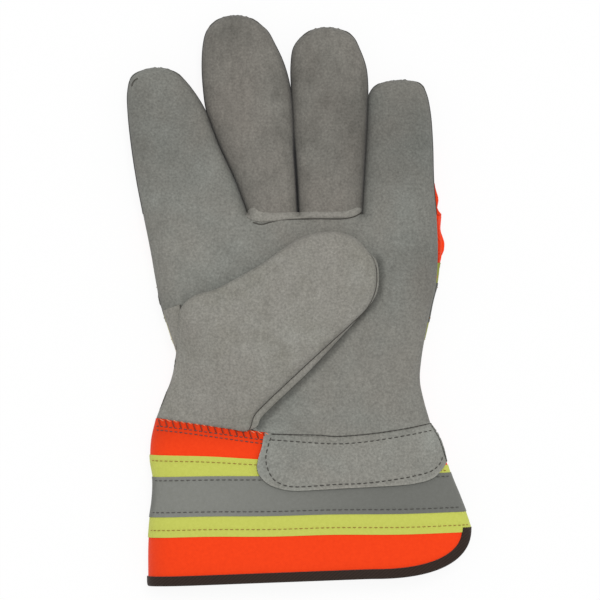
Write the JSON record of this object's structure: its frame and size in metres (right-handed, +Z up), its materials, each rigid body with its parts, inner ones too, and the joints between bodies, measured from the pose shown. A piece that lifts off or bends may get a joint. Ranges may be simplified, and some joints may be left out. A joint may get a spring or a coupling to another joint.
{
  "type": "work glove",
  "caption": "Left-hand suede-palm work glove with fluorescent orange back and gauntlet cuff, lime and silver tape, leather vein patch and folded wing thumb.",
  "frame": {"origin": "on the table, under the middle of the glove's outline", "axes": "+Y from the cuff to the fingertips, +X towards the little finger, +Z up out of the palm"},
  "size_m": [0.1622, 0.2675, 0.0322],
  "materials": {
    "suede_grey": "napped split suede",
    "suede_warm": "napped split suede",
    "lining_cream": "brushed cotton",
    "orange_cloth": "fluorescent woven cloth",
    "lime_tape": "fluorescent woven tape",
    "silver_tape": "retroreflective, satin",
    "lime_thread": "stitching",
    "dark_thread": "stitching",
    "rust_thread": "overlock stitching",
    "elastic": "woven elastic",
    "cuff_backing": "stiffened canvas",
    "brown_binding": "twill binding"
  },
  "bodies": {
    "hand": {"palm_leather": "suede_grey", "palm_lining": "lining_cream", "back_fabric": "orange_cloth", "back_tape_lime": "lime_tape", "back_tape_silver": "silver_tape", "back_tape_thread": "lime_thread", "wrist_elastic": "elastic", "finger_seam_fold": "suede_grey", "thumb_gusset": "suede_grey", "thumb_wing": "suede_warm", "cuff_ply": "orange_cloth", "cuff_backing": "cuff_backing", "cuff_binding": "brown_binding", "cuff_tape_lime": "lime_tape", "cuff_tape_silver": "silver_tape", "cuff_tape_thread": "lime_thread", "vein_patch": "suede_grey", "patch_thread": "dark_thread", "overlock_thread": "rust_thread"},
    "index": {"index_front": "suede_grey", "index_back": "suede_grey"},
    "middle": {"middle_front": "suede_warm", "middle_back": "orange_cloth", "middle_fingertip": "suede_warm"},
    "ring": {"ring_front": "suede_warm", "ring_back": "orange_cloth", "ring_fingertip": "suede_warm"},
    "little": {"little_front": "suede_grey", "little_back": "orange_cloth", "little_fingertip": "suede_warm"},
    "thumb": {"thumb_front": "suede_warm", "thumb_back": "suede_warm"}
  },
  "joints": [
    {"name": "index_bend", "type": "hinge", "parent": "hand", "child": "index", "pos_m": [-0.0241, 0.0403, 0.016], "axis": [0.9848, 0.1736, 0], "range_deg": [0, 85]},
    {"name": "middle_bend", "type": "hinge", "parent": "hand", "child": "middle", "pos_m": [-0.0134, 0.04, 0.016], "axis": [1, 0, 0], "range_deg": [0, 70]},
    {"name": "ring_bend", "type": "hinge", "parent": "hand", "child": "ring", "pos_m": [0.0132, 0.04, 0.016], "axis": [1, 0, 0], "range_deg": [0, 70]},
    {"name": "little_bend", "type": "hinge", "parent": "hand", "child": "little", "pos_m": [0.046, 0.04, 0.016], "axis": [1, 0, 0], "range_deg": [0, 70]},
    {"name": "thumb_fold", "type": "hinge", "parent": "hand", "child": "thumb", "pos_m": [-0.0496, -0.0344, 0.0244], "axis": [0.474, -0.8805, 0], "range_deg": [0, 85]}
  ]
}
